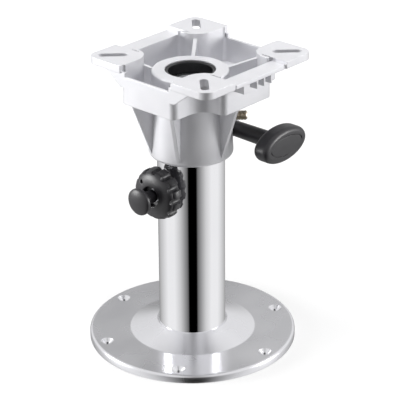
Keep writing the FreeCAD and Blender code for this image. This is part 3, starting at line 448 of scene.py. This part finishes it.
bpy.ops.mesh.extrude_region_move(TRANSFORM_OT_translate={"value": (oval["dome"] * mm, 0, 0)})
bpy.ops.transform.resize(value=(1, oval["crown"], oval["crown"]), center_override=middle)
bpy.ops.object.mode_set(mode="OBJECT")
easeEdges(handleCap, oval["ease"], segments=3, angle=60)
dress(handleCap, knobPlastic, "clamp", ["handle_cap"], angle=25)

# Stop screw: a threaded stud in the collar's side with a hexagon socket in its end.
stud = {"start": 35.0, "end": 60.0, "crest": 5.4, "root": 4.45, "pitch": 1.6, "flat": 0.2,
        "pointLength": 0.9, "pointDepth": 0.7, "steps": 48,
        "socket": 2.6, "socketDepth": 5.2, "socketSides": 6}
thread = [(0, stud["start"]), (stud["root"], stud["start"])]
level = stud["start"] + stud["pitch"] / 2
while level < stud["end"] - stud["pitch"]:
    thread += [(stud["crest"], level), (stud["crest"], level + stud["flat"]),
               (stud["root"], level + stud["pitch"] / 2 + stud["flat"] / 2)]
    level += stud["pitch"]
thread += [(stud["root"], stud["end"] - stud["pointLength"]),
           (stud["root"] - stud["pointDepth"], stud["end"]), (0, stud["end"])]
stopScrew = turnPiece("stopScrew", thread, stopLine, stud["steps"])
cutOut(stopScrew, [rod("socketCutter", stud["socket"], stud["end"] - stud["socketDepth"],
                       stud["end"] + past, stopLine, stud["socketSides"])])
dress(stopScrew, screwSteel, "mount", ["stop_screw"], angle=25)

# Retaining nut: a ring with teeth all round, bored for the head's stud.
nut = {"bottom": 289.25, "top": 300.75, "tip": 22.6, "valley": 21.2, "teeth": 44, "bore": 16.05,
       "boreSteps": 96, "ease": 0.2}
bpy.ops.object.select_all(action="DESELECT")
bpy.ops.mesh.primitive_circle_add(vertices=nut["teeth"] * 2, radius=nut["tip"] * mm, fill_type="NGON",
                                  location=(0, 0, nut["bottom"] * mm))
retainingNut = bpy.context.object
retainingNut.name = "retainingNut"
bpy.ops.object.transform_apply(location=True, rotation=True, scale=True)
bpy.ops.object.mode_set(mode="EDIT")
pickIn(retainingNut, "VERT",
       lambda vertex: round(math.atan2(vertex.co.y, vertex.co.x) * nut["teeth"] / math.pi) % 2 == 1)
inwards = nut["valley"] / nut["tip"]
bpy.ops.transform.resize(value=(inwards, inwards, 1), center_override=(0, 0, 0))
bpy.ops.mesh.select_all(action="SELECT")
bpy.ops.mesh.extrude_region_move(
    TRANSFORM_OT_translate={"value": (0, 0, (nut["top"] - nut["bottom"]) * mm)})
bpy.ops.object.mode_set(mode="OBJECT")
settle(retainingNut)
cutOut(retainingNut, [rod("boreCutter", nut["bore"], nut["bottom"] - past, nut["top"] + past,
                          tubeLine, nut["boreSteps"])])
easeEdges(retainingNut, nut["ease"], segments=1, angle=50)
dress(retainingNut, zincSteel, "post", ["retaining_nut"], angle=20)
print("screws and nut ready")

# Top bush: a plain cup with a slight draft inside, whose lip shows just inside the mount's ring.
cup = {"spigot": 19.05, "outer": 27.05, "bottom": 286.25, "floor": 289.25, "top": 312.4, "wall": 3.4,
       "draft": 0.4, "round": 0.8, "steps": 128}
cupInner = cup["outer"] - cup["wall"]
topBush = turnPiece("topBush", [
    (cup["spigot"], cup["bottom"]), (cup["outer"], cup["bottom"]), (cup["outer"], cup["top"]),
    (cupInner, cup["top"]), (cupInner - cup["draft"], cup["floor"]), (cup["spigot"], cup["floor"])],
    tubeLine, cup["steps"])
softenRing(topBush, tubeLine, cupInner, cup["top"], cup["round"], segments=3)
dress(topBush, bushPlastic, "post", ["top_bush"])

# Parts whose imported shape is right: a merged copy that shades smoothly.
kept = {
    "guide_bush": ("guideBush", bushPlastic, "pedestal", "bush_plastic"),
    "lock_boss": ("lockBoss", zincSteel, "pedestal", "zinc_steel"),
    "inner_post": ("innerPost", anodisedPost, "post", "post_aluminium"),
    "post_head": ("postHead", machinedHead, "post", "post_aluminium"),
    "seat_mount": ("seatMount", castMount, "mount", "casting"),
    "sleeve_bush": ("sleeveBush", bushPlastic, "mount", "bush_plastic"),
    "clamp_nut": ("clampNut", zincSteel, "mount", "zinc_steel"),
    "clamp_washer": ("clampWasher", zincSteel, "clamp_carrier", "zinc_steel"),
    "clamp_screw": ("clampScrew", zincSteel, "clamp", "zinc_steel"),
    "lock_screw": ("lockScrew", zincSteel, "lock", "zinc_steel"),
    "index_pin": ("indexPin", zincSteel, "pin", "zinc_steel"),
}
for node, (name, material, body, slot) in kept.items():
    dress(copyNode(node, name), material, body, [node], angle=28)

# Parts inside, hardly seen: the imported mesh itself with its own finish.
inside = {
    "post_glide": bushPlastic,
    "head_pin": zincSteel,
    "thrust_washer": bushPlastic,
    "lock_pad": bushPlastic,
    "spring_plug": zincSteel,
    "pin_spring": zincSteel,
}
for node, material in inside.items():
    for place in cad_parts[node].material_slots:
        place.material = material
print("mount and small parts ready")

# Studio, in metres: a pale floor that keeps the shadow, soft lamps, and a light tent for the metal
# to reflect. The floor glows for the camera, and more so further out, where the lamps reach it less.
studio = {"floorSize": 12.0, "floorDrop": 0.0002, "floorColour": "a4a4a4", "nearLift": 0.62,
          "farLift": 0.97, "near": 0.4, "far": 1.5, "plainLight": 0.16, "slitAzimuth": 46.0,
          "aim": (0, 0, 0.15)}
bpy.ops.object.select_all(action="DESELECT")
bpy.ops.mesh.primitive_plane_add(size=studio["floorSize"], location=(0, 0, -studio["floorDrop"]))
floor = bpy.context.object
floor.name = "floor"
floor.visible_glossy = False    # metal reflects the tent, not the floor
pale = bpy.data.materials.new("paleFloor")
pale.use_nodes = True
tree = pale.node_tree
tree.nodes.clear()
seen = addNode(tree, "LightPath").outputs["Is Camera Ray"]
spread = addNode(tree, "TexCoord").outputs["Object"]
apart = addNode(tree, "VectorMath", {"operation": "LENGTH"}, {}, {0: spread}).outputs["Value"]
fill = addNode(tree, "MapRange", {}, {
    "From Min": studio["near"], "From Max": studio["far"],
    "To Min": studio["nearLift"], "To Max": studio["farLift"]}, {"Value": apart})
lift = addNode(tree, "Math", {"operation": "MULTIPLY"}, {}, {0: seen, 1: fill.outputs[0]}).outputs[0]
matt = addNode(tree, "BsdfDiffuse", values={"Color": linear(studio["floorColour"])}).outputs[0]
glow = addNode(tree, "Emission", values={"Color": (1, 1, 1, 1)}, links={"Strength": lift}).outputs[0]
both = addNode(tree, "AddShader", links={0: matt, 1: glow}).outputs[0]
addNode(tree, "OutputMaterial", links={"Surface": both})
floor.data.materials.append(pale)

# The tent is white at both sides, with a dark slit where the camera looks in and a greyer back
# wall. Stops are degrees round from the slit and the level there. Its roof is two white panels
# with a dim gap over the camera's line; those stops are how far aside from that line.
tent = [(0, 0.0), (13, 0.0), (17, 0.16), (28, 0.36), (45, 0.7), (66, 0.95), (95, 0.95), (130, 0.62),
        (165, 0.3)]
roofPanels = [(0.0, 0.4), (0.08, 0.5), (0.24, 0.97), (1.0, 1.0)]


def fillRamp(ramp, levels):
    stops = ramp.color_ramp.elements
    while len(stops) < len(levels):
        stops.new(0.5)    # anywhere, since each stop gets its own place below
    for stop, (place, level) in zip(stops, levels):
        stop.position = place
        stop.color = (level, level, level, 1)


world = bpy.data.worlds.new("tent")
bpy.context.scene.world = world
world.use_nodes = True
tree = world.node_tree
tree.nodes.clear()
way = addNode(tree, "TexCoord").outputs["Generated"]
turn = math.radians(90 - studio["slitAzimuth"])
turnedWay = addNode(tree, "Mapping", {"vector_type": "POINT"}, {"Rotation": (0, 0, turn)}, {"Vector": way})
parts = addNode(tree, "SeparateXYZ", links={"Vector": turnedWay.outputs[0]})
bearing = addNode(tree, "Math", {"operation": "ARCTAN2"}, {},
                  {0: parts.outputs["Y"], 1: parts.outputs["X"]})
away = addNode(tree, "Math", {"operation": "ABSOLUTE"}, {}, {0: bearing.outputs[0]})
share = addNode(tree, "Math", {"operation": "DIVIDE"}, {1: math.pi}, {0: away.outputs[0]})
wall = addNode(tree, "ValToRGB", links={"Fac": share.outputs[0]})
fillRamp(wall, [(degrees / 180, level) for degrees, level in tent])
aside = addNode(tree, "Math", {"operation": "ABSOLUTE"}, {}, {0: parts.outputs["Y"]})
roof = addNode(tree, "ValToRGB", links={"Fac": aside.outputs[0]})
fillRamp(roof, roofPanels)
rise = addNode(tree, "MapRange", {"interpolation_type": "SMOOTHSTEP"},
               {"From Min": -0.1, "From Max": 0.2, "To Min": 0.0, "To Max": 1.0},
               {"Value": parts.outputs["Z"]})
tentColour = addNode(tree, "Mix", {"data_type": "RGBA"}, {}, {
    "Factor": rise.outputs[0], colourA: wall.outputs["Color"], colourB: roof.outputs["Color"]})
rays = addNode(tree, "LightPath")
shown = addNode(tree, "Math", {"operation": "MAXIMUM"}, {},
                {0: rays.outputs["Is Glossy Ray"], 1: rays.outputs["Is Transmission Ray"]})
plain = studio["plainLight"]
ambient = addNode(tree, "Mix", {"data_type": "RGBA"}, {colourA: (plain, plain, plain, 1)},
                  {"Factor": shown.outputs[0], colourB: tentColour.outputs[mixedColour]})
white = addNode(tree, "Mix", {"data_type": "RGBA"}, {colourB: (1, 1, 1, 1)},
                {"Factor": rays.outputs["Is Camera Ray"], colourA: ambient.outputs[mixedColour]})
sky = addNode(tree, "Background", values={"Strength": 1.0}, links={"Color": white.outputs[mixedColour]})
addNode(tree, "OutputWorld", links={"Surface": sky.outputs[0]})

# Soft lamps: one overhead for the pale tops, and panels behind on the left and right, which leave
# what faces the camera darker. Gloss shows the two panels, and the weak lamp fills the back.
# Each is a name, a place, a size, a power in watts, and whether gloss shows it.
lamps = [("overhead", (0.0, 0.0, 1.6), 0.7, 20.0, False), ("left", (-1.13, -1.13, 0.4), 0.6, 21.0, True),
         ("right", (1.31, 0.92, 0.4), 0.6, 14.0, True), ("back", (-1.1, 1.1, 0.6), 0.7, 5.0, False)]
for name, place, size, power, inGloss in lamps:
    bpy.ops.object.light_add(type="AREA", location=place)
    lamp = bpy.context.object
    lamp.name = name
    lamp.data.size = size
    lamp.data.energy = power
    aim = Vector(studio["aim"]) - Vector(place)
    lamp.rotation_euler = aim.to_track_quat("-Z", "Y").to_euler()
    lamp.visible_glossy = inGloss
print("studio ready")

# Camera: the photograph's own place and lens, found by fitting a pinhole camera to it.
view = {"place": (1.1911, -1.2870, 0.9794), "azimuth": 42.48, "pitch": 24.99, "roll": -0.37,
        "lens": 160.8, "sensor": 36.0, "farthest": 50.0}
bpy.ops.object.camera_add(location=view["place"])
camera = bpy.context.object
facing = (Matrix.Rotation(math.radians(view["azimuth"]), 4, "Z")
          @ Matrix.Rotation(math.radians(90 - view["pitch"]), 4, "X")
          @ Matrix.Rotation(math.radians(view["roll"]), 4, "Z"))
camera.rotation_euler = facing.to_euler()
camera.data.lens = view["lens"]
camera.data.sensor_width = view["sensor"]
camera.data.clip_end = view["farthest"]
bpy.context.scene.camera = camera
bpy.context.scene.view_settings.view_transform = "Standard"

print("scene ready")
